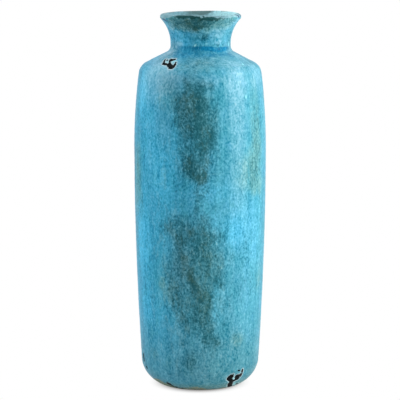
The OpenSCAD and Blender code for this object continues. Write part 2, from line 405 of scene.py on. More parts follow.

# %% [markdown]
# The glaze is uneven in colour, and each kind of unevenness has its own place on the vase: dark patches
# where it ran thin over the slip, tints of olive and ash, clear sky blue where it lies thick, a milky
# haze on the shoulder, a deep pool in the hollow of the neck, a pale lip, and a worn line above the bare
# foot. Some dabs also carry painted light: a painted highlight down the right side and on the neck,
# painted reflections at the two ends of the hollow of the neck, a painted bright rim down the left edge
# and a few painted glints. It could be painted as a picture, which would have to be unwrapped onto the
# form. Here each kind is a number on every point of the mesh, laid on like dabs of a sponge, and the
# material then breaks up their edges.


# %% Dabs of a sponge
def dabs(spots):
    """Cover from 0 to 1 by soft dabs (azimuth, height, half-width, half-height, strength, lean), in
    degrees and mm. Each is an ellipse, leaned clockwise if it has a lean, and the cover is 1 - product
    over the dabs of 1 - strength * e^(-0.7 d^3), with d the distance from the middle in half-sizes."""
    clear = np.ones(face_s.shape)
    on_body = ease(face_s, crest_s, crest_s - 2.0)
    for azimuth, z, half_width, half_height, strength, *lean in spots:
        across = np.radians(off(azimuth)) * face_r
        up = face_z - z
        turn = math.radians(sum(lean))
        wide = (across * math.cos(turn) - up * math.sin(turn)) / half_width
        tall = (across * math.sin(turn) + up * math.cos(turn)) / half_height
        clear *= 1.0 - strength * np.exp(-0.7 * np.hypot(wide, tall) ** 3)
    return (1.0 - clear) * on_body


def near(azimuth, reach, power=4):
    """1 at that azimuth, falling off round the vase over a reach in degrees."""
    return bell(off(azimuth), reach, power)


# %% Dark patches of the front: upper body, lower body and neck
upper_patch = [
    (0, 371, 8, 29, 0.7), (-1, 345, 8, 20, 0.34), (-13, 357, 13, 24, 0.6, -8), (-9, 385, 9, 16, 0.42),
    (-20, 374, 8, 16, 0.16), (10, 350, 10, 27, 0.42, 6), (0, 319, 10, 18, 0.38),
    (-11, 309, 10, 19, 0.5, -8), (8, 324, 8, 17, 0.44, 10), (-7, 291, 10, 12, 0.54, -20),
    (1, 281, 8, 7, 0.62, -20), (2, 297, 9, 14, 0.34), (-26, 388, 12, 14, 0.16),
    (-12, 397, 4, 11, 0.44, -36), (7, 395, 10, 6, 0.36), (-16, 287, 9, 11, 0.26),
    (-4, 347, 33, 60, 0.22), (16, 296, 18, 22, 0.16), (0, 262, 9, 14, 0.3), (58, 318, 12, 45, 0.32),
    (47, 283, 18, 20, 0.25),
]
lower_patch = [
    (-19, 216, 24, 18, 0.46), (8, 207, 20, 12, 0.46), (3, 227, 10, 9, 0.4), (-4, 241, 5, 8, 0.34),
    (-18, 181, 8, 25, 0.34, -6), (-8, 190, 14, 20, 0.28), (0, 190, 7, 12, 0.3),
    (-6, 145, 5, 23, 0.68, -21), (7, 169, 19, 28, 0.44), (30, 177, 6, 8, 0.26), (16, 148, 10, 11, 0.2),
    (3, 114, 11, 22, 0.58, 4), (6, 79, 8, 13, 0.38), (17, 67, 8, 5, 0.26), (-16, 116, 18, 26, 0.38),
    (-9, 46, 8, 12, 0.32), (35, 76, 8, 8, 0.24), (-4, 151, 43, 88, 0.22), (-9, 42, 50, 25, 0.15),
    (26, 110, 16, 34, 0.14), (-25, 152, 10, 24, 0.36), (-5, 92, 9, 14, 0.32), (11, 78, 9, 26, 0.3),
]
neck_patch = [
    (4, 453, 8, 5, 0.52), (15, 454, 7, 4, 0.26), (-8, 466, 9, 3, 0.5), (0, 423, 30, 8, 0.2),
    (32, 442, 10, 5, 0.26),
]
print("dark dabs on the front:", len(upper_patch + lower_patch + neck_patch))

# %% [markdown]
# The back has the same kinds of patch, since one hand glazed it all: the front's dabs are mirrored,
# carried round and moved up or down, so that no side is plain and no side repeats the front.


# %% Dark patches of the back
def moved_round(spots, azimuth, lift, share):
    """The same dabs mirrored and carried round to that azimuth, lifted by mm, at a share of their
    strength."""
    return [
        (azimuth - az, z + lift, wide, tall, strength * share, -sum(lean))
        for az, z, wide, tall, strength, *lean in spots
    ]


back_patch = moved_round(upper_patch, 160.0, -18.0, 0.9) + moved_round(lower_patch, -146.0, 12.0, 0.9)
back_patch += moved_round(upper_patch, 102.0, -150.0, 0.55) + moved_round(lower_patch, -98.0, 90.0, 0.5)
print("dark dabs on the back:", len(back_patch))

# %% [markdown]
# Olive is thin glaze that took iron from the slip below it, and ash is a grey bloom on it, but at the
# two ends of the hollow of the neck the ash is a painted reflection. Sky is the clear blue of a thicker
# coat, and down the left edge it is a painted bright rim of light. Haze is a milky skin where bubbles
# stayed in the melt; down the right side and on the neck it is a painted highlight, and at the ends of
# the hollow a painted reflection.

# %% Olive tints, and ash with a painted reflection
olive_spots = [
    (46, 286, 22, 26, 0.68), (60, 264, 16, 14, 0.55), (57, 340, 14, 60, 0.56),
    (-27, 220, 16, 170, 0.2), (-30, 382, 16, 22, 0.44), (-40, 150, 16, 44, 0.34),
    (10, 110, 50, 90, 0.22), (-8, 418, 30, 8, 0.4), (-76, 300, 12, 110, 0.2), (-66, 292, 10, 36, 0.45),
    (37, 68, 12, 9, 0.55), (60, 310, 10, 45, 0.4), (65, 144, 12, 20, 0.45), (-70, 268, 10, 34, 0.55),
    (-61, 231, 8, 18, 0.4), (-38, 144, 7, 7, 0.45), (-53, 50, 14, 16, 0.2), (-52, 468, 10, 8, 0.7),
    (3, 362, 20, 36, 0.42), (0, 150, 26, 60, 0.35), (142, 330, 14, 40, 0.45),
    (-130, 130, 18, 30, 0.45), (175, 180, 14, 26, 0.4), (-100, 300, 12, 34, 0.45),
]
# ash dabs: grey bloom, but those at the two ends of the hollow of the neck are a painted reflection
ash_spots = [
    (-52, 424, 14, 8, 0.72), (-64, 433, 12, 9, 0.92), (66, 436, 12, 9, 0.5), (-60, 440, 9, 7, 0.6),
    (32, 460, 12, 8, 0.35), (-31, 398, 18, 14, 0.6), (-12, 370, 10, 26, 0.28), (0, 424, 30, 8, 0.4),
    (-34, 417, 12, 7, 0.45), (-9, 410, 9, 12, 0.3), (10, 330, 8, 14, 0.08), (-9, 334, 7, 12, 0.12),
    (34, 64, 12, 14, 0.18), (-33, 345, 11, 28, 0.26), (4, 115, 55, 95, 0.08), (-18, 214, 22, 16, 0.14),
    (-17, 180, 10, 26, 0.26), (-22, 160, 14, 34, 0.2), (-6, 145, 8, 24, 0.3, -21),
    (-4, 290, 10, 14, 0.2), (150, 330, 20, 30, 0.45), (-120, 170, 20, 30, 0.45),
]
print("olive and ash dabs:", len(olive_spots + ash_spots))

# %% Sky blue with a painted rim light, and haze with a painted highlight
# sky dabs: clear blue, but those down the left edge are a painted bright rim of light
sky_spots = [
    (48, 214, 28, 44, 0.4), (-25, 446, 8, 8, 0.5), (-44, 451, 9, 13, 0.44), (24, 460, 8, 6, 0.26),
    (40, 445, 9, 7, 0.3), (-2, 449, 8, 6, 0.3), (-36, 440, 8, 6, 0.3), (54, 466, 8, 10, 0.26),
    (67, 470, 9, 6, 0.55), (30, 212, 16, 20, 0.4), (12, 226, 12, 18, 0.2), (-62, 200, 16, 52, 0.8),
    (-64, 382, 12, 26, 0.85), (-33, 292, 20, 48, 0.54), (-50, 330, 14, 40, 0.35),
    (17, 118, 14, 34, 0.22), (-58, 110, 12, 24, 0.62), (8, 262, 30, 14, 0.3), (150, 180, 24, 50, 0.5),
    (-120, 260, 20, 50, 0.45),
]
# haze dabs: milky skin, but those down the right side and on the neck are a painted highlight, and those
# at the ends of the hollow a painted reflection
haze_spots = [
    (36, 402, 16, 22, 0.48), (35, 350, 14, 50, 0.29), (48, 216, 26, 40, 0.2), (35, 280, 14, 40, 0.22),
    (50, 418, 18, 7, 0.27), (64, 398, 14, 14, 0.3), (-46, 395, 20, 22, 0.32), (-24, 406, 16, 7, 0.3),
    (8, 402, 18, 7, 0.3), (-46, 320, 15, 90, 0.1), (-34, 417, 12, 6, 0.42), (38, 362, 9, 30, 0.12),
    (67, 471, 8, 5, 0.3), (-60, 418, 18, 10, 0.18), (-41, 414, 13, 8, 0.42), (-55, 406, 14, 11, 0.26),
    (67, 406, 14, 14, 0.3), (-66, 386, 16, 22, 0.2), (30, 375, 12, 40, 0.1), (-44, 448, 9, 12, 0.2),
    (-43, 443.5, 5, 2.5, 0.6), (36, 458, 9, 9, 0.2), (37, 447, 6, 4, 0.5), (56, 466, 7, 9, 0.24),
    (-58, 464, 7, 5, 0.34), (-72, 430, 9, 9, 0.4), (70, 430, 9, 8, 0.36), (160, 400, 24, 18, 0.34),
    (-130, 380, 18, 40, 0.28), (120, 250, 16, 50, 0.22),
]
print("sky and haze dabs:", len(sky_spots + haze_spots))

# %% [markdown]
# Under the lip lies a dark band. Its top wanders up and over the lip and down again, so it is given as
# lengths at a few azimuths with noise on them, and its edge is darkest in two places at the front.

# %% Dark band under the lip
far_side = ease(-np.cos(face_turn), -0.15, 0.25)
band_wave = 0.9 * hand_noise(face_place, 8.0, 21) + 0.7 * hand_noise(face_place, 3.5, 22)
drawn_back = [
    (-120, 523.0), (-74, 518.5), (-60, 519.5), (-47, 523.1), (-37, 526.8), (-26, 530.4), (-15, 528.6),
    (-7, 526.6), (0, 523.4), (14, 523.2), (33, 523.2), (53, 522.2), (90, 522.0),
]
drawn_back_az, drawn_back_s = np.array(drawn_back).T
band_top = np.interp(face_az, drawn_back_az, drawn_back_s, period=360.0) + 2.2 * band_wave
below_top = band_top - face_s
lip_band = ease(face_s + 2.5 * band_wave, 499.0, 511.0) * ease(below_top, -2.4, -1.6)
band_front = near(-18.0, 36.0) + 0.42 * near(30.0, 36.0)
lip_band *= np.clip(0.12 + band_front + 0.6 * near(172.0, 50.0), 0.0, 1.0)
edge_wide = 1.2 + 4.4 * near(-21.0, 14.0) + 1.6 * near(19.0, 10.0)
band_edge = lip_band * bell(np.maximum(below_top - edge_wide, 0.0), 1.6)
band_edge *= ease(face_az, -46.0, -30.0) * ease(face_az, 58.0, 30.0) + far_side
tell("band under the lip", lip_band > 0.5)

# %% Cover of the dark, olive, ash, haze and sky, with their painted reflection, highlight and rim light
patches = dabs(upper_patch + lower_patch + neck_patch + back_patch)
dark = 1.0 - (1.0 - patches) * (1.0 - lip_band * (0.52 + 0.3 * near(-7.0, 17.0)))
olive = np.maximum(dabs(olive_spots), 0.95 * np.sqrt(lip_band))
ash = np.maximum(dabs(ash_spots), 0.2 * np.sqrt(lip_band))
haze = dabs(haze_spots)
sky = dabs(sky_spots)
print("dark cover", round(float(dark.mean()), 3), "olive cover", round(float(olive.mean()), 3))

# %% [markdown]
# Glaze gathers in the hollow where the shoulder meets the neck and melts to a deep blue: a narrow line
# at its top and a weaker body below it. It is thinner on the two sides.

# %% Pool in the hollow of the neck
pool_s = face_s + 2.0 * near(42.0, 22.0)
pool_top = ease(pool_s + 0.6 * band_wave, 484.8, 482.6)
pool_line = pool_top * ease(pool_s + 0.8 * band_wave, 475.5, 479.5)
pool_line *= 0.57 + 0.43 * near(30.0, 34.0)
pool_body = 0.51 * pool_top * ease(face_s + 1.5 * band_wave, 457.0, 469.0)
pool = np.maximum(pool_line, pool_body)
pool *= 1.0 - 0.9 * ease(-face_az, 47.0, 53.0) * ease(-face_az, 100.0, 84.0)
pool *= 1.0 - 0.75 * near(79.0, 14.0, 2)
tell("pool", pool > 0.3)

# %% [markdown]
# The lip above the band is pale. At the back it is palest to the right and grey in the middle, and its
# crest is worn to the brown of the body. Two slow changes remain: the glaze is greener on the right, and
# the neck shows level marks of the wheel.

# %% Pale lip, worn crest, green side and neck
lip_cover = ease(-below_top, -2.0, 2.0)
face_x = face_place[..., 0]
lip_light = ease(face_x + 5.0 * band_wave, 8.0, 29.0) * far_side
lip_light = np.maximum(lip_light, 0.22 * near(60.0, 18.0))
lip_dark = bell(face_x + 1.0 + 5.0 * band_wave, 23.0) * far_side
lip_dark *= 1.0 - ease(face_s + 2.0 * band_wave, crest_s + 4.0, crest_s + 13.0)
worn_line = crest_s + 0.4 + 1.2 * hand_noise(face_place, 14.0, 24)
crest_worn = bell(face_s - worn_line, 2.0) * far_side
crest_worn *= ease(hand_noise(face_place, 6.0, 23), -0.7, 0.15)
sea = ease(np.cos(np.radians(off(62.0))), -0.1, 0.9)
neck = ease(face_s, 482.0, 490.0) * ease(face_s, 530.0, 522.0)
tell("worn crest", crest_worn > 0.5)

# %% [markdown]
# The glaze line at the foot is where the potter wiped the glaze back, so it wanders up and down.
# Below it the clay is bare. The shell's lower edge follows that line a little way down over the
# clay, and a field says how thin the glaze is above it, where the brown of the clay comes through.
# The pale marks are painted glints, a faint level mark of the wheel, and the islands of glaze that stand
# in the chips.

# %% Glaze line and thin places at the foot
bare_front = near(-4.0, 13.0, 2)
drop = np.exp(-np.maximum(face_s - glaze_line_s, 0.0) / 9.0)
edge_fall = drop * (7.4 - 3.4 * bare_front + 1.0 * hand_noise(face_place, 13.0, 44))
face_s_moved = face_s - edge_fall
edge_z = outside.at(face_s_moved).imag
wiped = 5.6 + 10.0 * near(-54.0, 15.0, 2) + 4.6 * bare_front
wiped += 1.3 * hand_noise(face_place, 11.0, 31) + 0.9 * hand_noise(face_place, 4.0, 32)
foot_thin = ease(edge_z, wiped + 1.5, wiped - 3.5) * ease(face_s, 60.0, 50.0)
# the glaze is darker and greyer towards the foot
earth = ease(edge_z, 120.0, 10.0) * ease(face_s, 170.0, 130.0)
olive = np.maximum(olive, 0.7 * ease(edge_z, 18.0, 8.0) * ease(face_s, 60.0, 50.0))
tell("thin glaze", foot_thin > 0.5)

# %% Painted glints, a level mark and the islands in the chips
islands = np.minimum(
    stroke_field([(-6.2, 1.3, -3.8, 1.9, 1.4), (2.6, 0.4, 5.3, 3.4, 1.5)], *shoulder_chip_at),
    stroke_field([(-1.6, 4.4, -0.6, 3.0, 1.7), (4.4, -7.6, 7.6, -9.6, 2.0)], *foot_chip_at),
)
# painted glints: small bright spots of highlight on the neck, the shoulder and the upper body
pale_spots = [
    ((-0.6, -0.6, 0.5, 0.6, 0.55), -9.5, 484.4), ((-1.2, 0.1, 1.0, 0.0, 0.1), 12.2, 486.2),
    ((0.0, -2.0, 0.1, 2.2, 0.3), 67.8, 484.0), ((0.0, 0.0, 0.2, 0.2, 1.1), 53.8, 444.9),
    ((0.0, -0.5, 0.2, 0.6, 0.9), 45.0, 398.7),
]
pale_marks = np.minimum.reduce([stroke_field([stroke], *where) for stroke, *where in pale_spots])
level_mark = stroke_field([(-10.0, -0.1, 10.0, 0.2, 0.3)], 12.0, 305.9)
pale = np.maximum(ease(pale_marks, 0.9, -0.4), 0.10 * ease(level_mark, 0.9, -0.3))
pale = np.maximum(pale, 0.4 * ease(islands, 0.9, -0.4))
tell("pale marks", pale > 0.5)

# %% [markdown]
# The shell of the glaze: the visible face is the profile moved in and out by the relief, and the
# underside lies on the dark slip. The relief is small, as on the real vase: throwing rings of a tenth
# of a millimetre, a slightly uneven lip, chips that sink almost to the slip, and a rolled bead along
# the glaze line.

# %% Relief of the turquoise glaze
ring_pitch = 11.0
ring_wander = 3.6 * hand_noise(face_place, 60.0, 41)
rings = 0.06 * np.sin(face_s * 2.0 * math.pi / ring_pitch + ring_wander)
unround = 0.18 * np.cos(2.0 * face_turn + 0.7) + 0.12 * np.cos(3.0 * face_turn - 0.4)
lump = 0.12 * hand_noise(face_place, 26.0, 42)
chip_sink = -chip_depth * ease(chips, 0.45, -0.45)
chip_sink -= nick_depth * ease(np.minimum(nicks, slate), 0.45, -0.45)
chip_sink *= ease(face_s_moved, glaze_line_s - 0.5, glaze_line_s + 4.0)
bead = 0.30 * bell(face_s - glaze_line_s - 1.0, 2.5)
on_barrel = ease(face_s, 466.0, 446.0) * ease(face_s, 24.0, 40.0)
relief = (rings + unround + lump) * on_barrel + chip_sink + bead
print("relief from", round(float(relief.min()), 2), "to", round(float(relief.max()), 2), "mm")

# %% Uneven lip, and the face of the glaze
lip_lift = ease(face_s, 505.0, 526.0) * ease(face_s, 552.0, 530.0)
lip_uneven = 0.3 * np.cos(2.0 * face_turn + 1.1) + 0.15 * np.cos(5.0 * face_turn)
lip_uneven += 0.2 * hand_noise(face_place, 22.0, 43)
neck_set = 0.55 * np.sin(face_turn) * ease(face_s, 452.0, 480.0)
face = outside.at(face_s_moved, -relief) + neck_set + 1j * lip_lift * (lip_uneven - 0.05)
print("face reaches", round(float(face.imag.max()), 2), "mm up")

# %% Underside of the glaze, on the dark slip
under_spans = [
    (outside.length, 533.0, 6), (522.0, 488.0, 8), (485.0, 463.0, 14), (456.0, 436.0, 5),
    (400.0, 60.0, 9), (50.0, glaze_line_s, 6),
]
under_rows = np.concatenate([np.linspace(*span) for span in under_spans])
under = outside.at(under_rows, glaze_t)[:, None] + 0.0 * glaze_columns[None, :]
shell = np.vstack([face, under])
print("shell has", shell.shape[0], "rows round its section")


# %% Turquoise glaze as one closed shell
def with_under(field):
    """A field of the face carried on over the underside by repeating its last row."""
    return np.vstack([field, np.repeat(field[-1:], len(under_rows), axis=0)])


break_range = (-4.0, 12.0)
breaks = {"chips": chips, "nicks": nicks, "slate": slate}
face_fields = {key: np.clip(values, *break_range) for key, values in breaks.items()}
face_fields.update(
    dark=dark, band_edge=band_edge, olive=olive, ash=ash, haze=haze, sky=sky, earth=earth, sea=sea,
    pool=pool, neck=neck, lip_cover=lip_cover, lip_light=lip_light, lip_dark=lip_dark,
    crest_worn=crest_worn, foot_thin=foot_thin, pale=pale,
)
shell_fields = {key: with_under(values) for key, values in face_fields.items()}
glaze = turned_piece("turquoise_glaze_coat", shell, glaze_columns, fields=shell_fields)
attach(glaze, "root")
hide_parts("turquoise_glaze")

# %% [markdown]
# The liner was poured in and out, so it is thin and even over the potter's finger marks, which climb
# the inside as one long spiral. The shell runs from the middle of the floor's underside out and up to
# the throat, over the edge, and back down to the middle of the floor.

# %% Liner glaze
liner_columns = np.linspace(-180.0, 180.0, 145)[:-1]
liner_rows = graded(0.0, inside.length, 3.0, [(10.0, 24.0, 1.6), (inside.length - 60.0, 20.0, 2.2)])
liner_turn = np.radians(liner_columns)[None, :]
liner_s = liner_rows[:, None] + 0.0 * liner_turn
spiral_pitch = 13.0
spiral = 0.16 * np.sin(2.0 * math.pi * liner_s / spiral_pitch + liner_turn)
spiral *= ease(liner_s, 6.0, 20.0) * ease(liner_s, inside.length - 4.0, inside.length - 30.0)
liner_face = inside.at(liner_s, coat_t - liner_t - spiral)
liner_under = inside.at(liner_rows[::-1], coat_t)[:, None] + 0.0 * liner_turn
liner_shell = np.vstack([liner_under, liner_face])
liner_shell[0] = 1j * liner_shell[0].imag
liner_shell[-1] = 1j * liner_shell[-1].imag.mean()
liner = turned_piece("liner_glaze_coat", liner_shell, liner_columns, pole=True)
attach(liner, "root")
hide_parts("liner_glaze")

# %% [markdown]
# Finishes are node trees. Wiring nodes by hand hides the sum behind them, so a small class wraps a
# socket, and Python's own operators add Math nodes: `1 - mask * 2` becomes two nodes. Colours go
# through Mix and Vector Math nodes, because a Math node would turn them grey.


# %% Shader sums as Python
class Wire:
    """A socket in a material's tree. Operators on it add Math nodes, and node() adds any other node."""

    def __init__(self, tree, socket=None):
        self.tree = tree
        self.socket = socket

    def node(self, kind, sockets=None, out=0, **settings):
        """A new node: its settings are set first, then its sockets, each to a value or a wire."""
        made = self.tree.nodes.new("ShaderNode" + kind)
        for key, value in settings.items():
            setattr(made, key, value)
        for key, value in (sockets or {}).items():
            if isinstance(value, Wire):
                self.tree.links.new(value.socket, made.inputs[key])
            else:
                made.inputs[key].default_value = value
        return Wire(self.tree, made.outputs[out] if made.outputs else None)

    def math(self, operation, *values):
        """A Math node on the values in that order."""
        return self.node("Math", dict(enumerate(values)), operation=operation)

    def __add__(self, other):
        return self.math("ADD", self, other)

    def __sub__(self, other):
        return self.math("SUBTRACT", self, other)

    def __rsub__(self, other):
        return self.math("SUBTRACT", other, self)

    def __mul__(self, other):
        return self.math("MULTIPLY", self, other)

    __radd__ = __add__
    __rmul__ = __mul__

    def __abs__(self):
        return self.math("ABSOLUTE", self)

    def eased(self, low, high):
        """Smoothstep of this value: 0 at low and 1 at high, whichever is the larger."""
        ends = {"Value": self, "From Min": min(low, high), "From Max": max(low, high)}
        ends.update({"To Min": float(low > high), "To Max": float(low < high)})
        return self.node("MapRange", ends, interpolation_type="SMOOTHSTEP")

    def tinted(self, tone, share):
        """This colour turned towards another, a wire or three linear numbers, by a share from 0 to 1."""
        tone = tone if isinstance(tone, Wire) else (*tone, 1.0)
        return self.node("Mix", {0: share, 6: self, 7: tone}, out=2, data_type="RGBA")

    def vector(self, operation, sockets, out=0):
        """A Vector Math node on this vector and what its other sockets are given."""
        return self.node("VectorMath", {0: self, **sockets}, out, operation=operation)


# %% An empty finish
def new_finish(name):
    """An empty material, and its Object coordinates in millimetres as a wire."""
    material = bpy.data.materials.new(name)
    material.use_nodes = True
    material.node_tree.nodes.clear()
    start = Wire(material.node_tree)
    place = start.node("TexCoord", out="Object")
    return material, place.vector("SCALE", {"Scale": 1.0 / MM})


def count_nodes(what, material):
    """Print how many nodes a material has by now."""
    print(what, "has", len(material.node_tree.nodes), "nodes")


glaze_finish, place = new_finish("turquoise_glaze")
count_nodes("empty glaze finish", glaze_finish)

# %% [markdown]
# The turquoise glaze is the face of the vase. It is mottled at every scale, from clouds the width of
# a hand down to grains of two millimetres, with runs where it flowed as it melted and a few short light
# fibres. One noise whose finer octaves are as strong as its coarse ones gives that, where the usual
# noise would look like smooth cloud. The mottling makes the colour under it lighter or darker by a
# share, so a dark patch is as lively as a light one, and red changes most, as in a milky glaze.


# %% Turquoise glaze finish: mottling, grain, runs and fibres
def noise(place, size, detail=2.0, rough=0.5, out="Fac"):
    """Cloudy noise from 0 to 1 about 0.5, with lumps about size mm across, from a place in mm."""
    sockets = {"Vector": place, "Scale": 1.0 / size, "Detail": detail, "Roughness": rough}
    return place.node("TexNoise", sockets, out)


def stretched(place, x, y, z):
    """The place with each axis scaled; a pattern read there is drawn out along the small ones."""
    return place.node("Mapping", {"Vector": place, "Scale": (x, y, z)})


def leaned(place, lean):
    """The place turned about the axis by lean * height / 80, so that upright fibres climb at a slant."""
    turn = place.node("SeparateXYZ", {0: place}, out="Z") * (lean / 80.0)
    return place.node("VectorRotate", {"Vector": place, "Angle": turn}, rotation_type="Z_AXIS")


swirl_mm = 3.5
swirl = noise(place, 18.0, detail=1.0, out="Color").vector("SUBTRACT", {1: (0.5, 0.5, 0.5)})
swum = place.vector("ADD", {1: swirl.vector("SCALE", {"Scale": swirl_mm})})
upright = stretched(swum, 1.0, 1.0, 0.75)
mottle = noise(upright, 13.0, detail=3.0, rough=1.0) - 0.5
grain = noise(upright, 2.4, detail=1.0, rough=0.6) - 0.5
runs = noise(stretched(swum, 1.0, 1.0, 0.2), 5.0, detail=2.0) - 0.5
streaks = noise(stretched(place, 1.0, 1.0, 0.06), 9.0, detail=2.0) - 0.5
hue = noise(stretched(swum, 1.0, 1.0, 0.5), 16.0, detail=3.0, rough=0.8) - 0.5
lathe = noise(stretched(place, 0.45, 0.45, 1.2), 8.0, detail=3.0, rough=0.9) - 0.5
slant = noise(place, 40.0).eased(0.44, 0.56)
to_right = noise(stretched(leaned(swum, 0.5), 1.0, 1.0, 0.3), 3.0, detail=1.0)
to_left = noise(stretched(leaned(swum, -0.4), 1.0, 1.0, 0.3), 3.0, detail=1.0)
fibre_line = to_right + (to_left - to_right) * slant - 0.5
fibres = abs(fibre_line).eased(0.04, 0.01) * noise(place, 6.0).eased(0.46, 0.62)
count_nodes("glaze with patterns", glaze_finish)


# %% Turquoise glaze finish: how far each unevenness reaches
def field(name):
    """A number that the mesh carries on its points."""
    return place.node("Attribute", out="Fac", attribute_name=name)


fray = mottle * -0.65 - runs * 0.35 - grain * 0.5
roughened = (noise(place, 1.1, detail=1.0) - 0.5) * 0.9
dark_share = (field("dark") + fray).eased(0.08, 0.84)
olive_share = (field("olive") + hue * 1.6).eased(0.1, 0.9)
sky_share = (field("sky") - fray * 0.6).eased(0.0, 0.9)
pool_share = (field("pool") + runs * 0.5).eased(0.2, 0.8)
haze_share = (field("haze") - fray * 0.4).eased(0.0, 0.9)
thin_share = (field("foot_thin") + grain * 1.6 + mottle * 0.8).eased(0.30, 1.0)
band_share = (field("band_edge") + fray * 1.1).eased(0.1, 0.75)
lip_share = (field("lip_cover") + fray * 1.6).eased(0.36, 0.64)
lip_dark_share = (field("lip_dark") + fray * 0.8).eased(0.15, 0.85)
worn_share = (field("crest_worn") + runs * 1.2).eased(0.45, 0.9)
count_nodes("glaze with shares", glaze_finish)


# %% Turquoise glaze finish: body colour and tints
def flat(place, tone):
    """Three linear numbers as a colour's wire, to start a chain of tints."""
    rgba = (*tone, 1.0)
    return place.node("Mix", {0: 0.0, 6: rgba, 7: rgba}, out=2, data_type="RGBA")


def layered(tone, *tints):
    """A colour with tints laid over it in order, each a colour and its share."""
    for tint, share in tints:
        tone = tone.tinted(tint, share)
    return tone


olive_here = (hue - mottle * 0.7 + field("ash") * 0.3).eased(0.0, 0.26)
dark_tone = flat(place, (0.012, 0.098, 0.117)).tinted((0.030, 0.102, 0.088), olive_here)
body_tone = layered(
    flat(place, (0.043, 0.346, 0.540)),
    ((0.072, 0.338, 0.448), field("sea")),
    ((0.087, 0.390, 0.600), hue.eased(0.00, 0.14) * 0.4),
    ((0.041, 0.304, 0.390), hue.eased(0.00, -0.14) * 0.4),
    # sky: clear blue, and a painted bright rim of light down the left edge
    ((0.066, 0.470, 0.725), sky_share * 0.85),
    ((0.130, 0.330, 0.300), olive_share * 0.65),
    # darker and greyer towards the foot
    ((0.088, 0.190, 0.188), field("earth") * 0.46),
    # ash: grey bloom, and a painted reflection at the two ends of the hollow of the neck
    ((0.230, 0.370, 0.420), field("ash") * 0.55),
    (dark_tone, dark_share * 0.90),
    ((0.002, 0.192, 0.358), pool_share * 0.93),
    # haze: milky skin, and a painted highlight down the right side and on the neck
    ((0.385, 0.700, 0.830), haze_share * 0.60),
    ((0.200, 0.600, 0.740), fibres * 0.32),
)
count_nodes("glaze with tints", glaze_finish)

# %% Turquoise glaze finish: mottling, which darkens or lightens what lies under it
darker = (0.14, 0.60, 0.68)
lighter = (1.86, 1.40, 1.32)
uneven = mottle * 0.52 + grain * 1.10 + runs * 0.3 + streaks * 0.62 + field("neck") * lathe * 1.6
mottling = flat(place, darker).tinted(lighter, uneven * (1.22 - haze_share * 0.5) + 0.5)
mottled = body_tone.vector("MULTIPLY", {1: mottling})
count_nodes("glaze with mottling", glaze_finish)

# %% Turquoise glaze finish: pale lip
lip_fleck = mottle + grain * 0.4
lip_shade = lip_fleck.eased(0.02, -0.16) * (0.45 - field("lip_light") * 0.25)
lip_tone = layered(
    flat(place, (0.205, 0.385, 0.440)),
    ((0.500, 0.900, 0.960), field("lip_light")),
    ((0.070, 0.190, 0.220), lip_shade),
    ((0.540, 0.920, 1.000), lip_fleck.eased(0.00, 0.24) * 0.32),
    ((0.110, 0.185, 0.180), lip_dark_share),
)
count_nodes("glaze with lip", glaze_finish)


# %% Turquoise glaze finish: band, lip, worn and thin places, pale marks, painted glints and bared slip
def fired(place, base, roughness, bumps, bump_mm, **constants):
    """A Principled surface with bumps of that height in mm, and its constant sockets set by name."""
    bump = place.node("Bump", {"Strength": 1.0, "Distance": bump_mm * MM, "Height": bumps})
    sockets = {"Base Color": base, "Roughness": roughness, "Normal": bump}
    sockets.update({key.replace("_", " "): value for key, value in constants.items()})
    shader = place.node("BsdfPrincipled", sockets)
    place.node("OutputMaterial", {"Surface": shader})


slate_share = (field("slate") + roughened).eased(0.5, -0.3)
chip_here = field("chips") + roughened
nick_share = (field("nicks") + roughened).eased(0.3, -0.2)
bared = 1.0 - (1.0 - chip_here.eased(0.24, -0.10)) * (1.0 - nick_share)
slip_black = flat(place, (0.002, 0.005, 0.006))
slip_black = slip_black.tinted((0.026, 0.022, 0.017), noise(place, 3.0).eased(0.5, 0.7))
tone = layered(
    mottled,
    ((0.006, 0.048, 0.048), band_share * 0.86),
    (lip_tone, lip_share * 0.92),
    ((0.250, 0.215, 0.180), worn_share * 0.7),
    ((0.260, 0.290, 0.200), thin_share * 0.85),
    # pale marks: painted glints, the faint level mark and the islands in the chips
    ((0.400, 0.950, 1.000), field("pale")),
    ((0.036, 0.080, 0.165), slate_share * 0.95),
    ((0.560, 0.700, 0.720), chip_here.eased(2.0, 0.5) * 0.6),
    (slip_black, bared),
)
glaze_rough = 0.36 + mottle * 0.3 + bared * 0.3 + thin_share * 0.3
glaze_bumps = mottle * 2.0 + grain * 0.6 + runs * 0.5
fired(place, tone, glaze_rough, glaze_bumps, 0.16, Specular_IOR_Level=0.04)
glaze.data.materials.append(glaze_finish)
count_nodes("glaze finish", glaze_finish)

# %% [markdown]
# The liner is a paler glaze with no slip under it. It runs a little, so it is streaked downwards, and
# small dark flecks break up its colour. Two noises are enough, since little light falls on it.

# %% Liner glaze finish
liner_finish, place = new_finish("liner_glaze")
runs = noise(stretched(place, 1.0, 1.0, 0.18), 7.0, detail=3.0)
mottle = noise(place, 3.0, detail=3.0, rough=0.6)
tone = flat(place, (0.165, 0.390, 0.415))
tone = tone.tinted((0.260, 0.470, 0.480), runs.eased(0.4, 0.65))
tone = tone.tinted((0.075, 0.230, 0.260), mottle.eased(0.48, 0.36) * 0.6)
fired(place, tone, 0.30 + mottle * 0.2, mottle + runs * 0.6, 0.15, Specular_IOR_Level=0.35)
liner.data.materials.append(liner_finish)
count_nodes("liner finish", liner_finish)

# %% [markdown]
# The bare stoneware shows only at the foot. It is a brown body clouded with a darker shade, with iron
# specks, matt and slightly sandy. The slip in the joints is the same clay thinned with water, so it is
# paler and smoother, and the dark slip is nearly black and smoother still. One function makes all three.


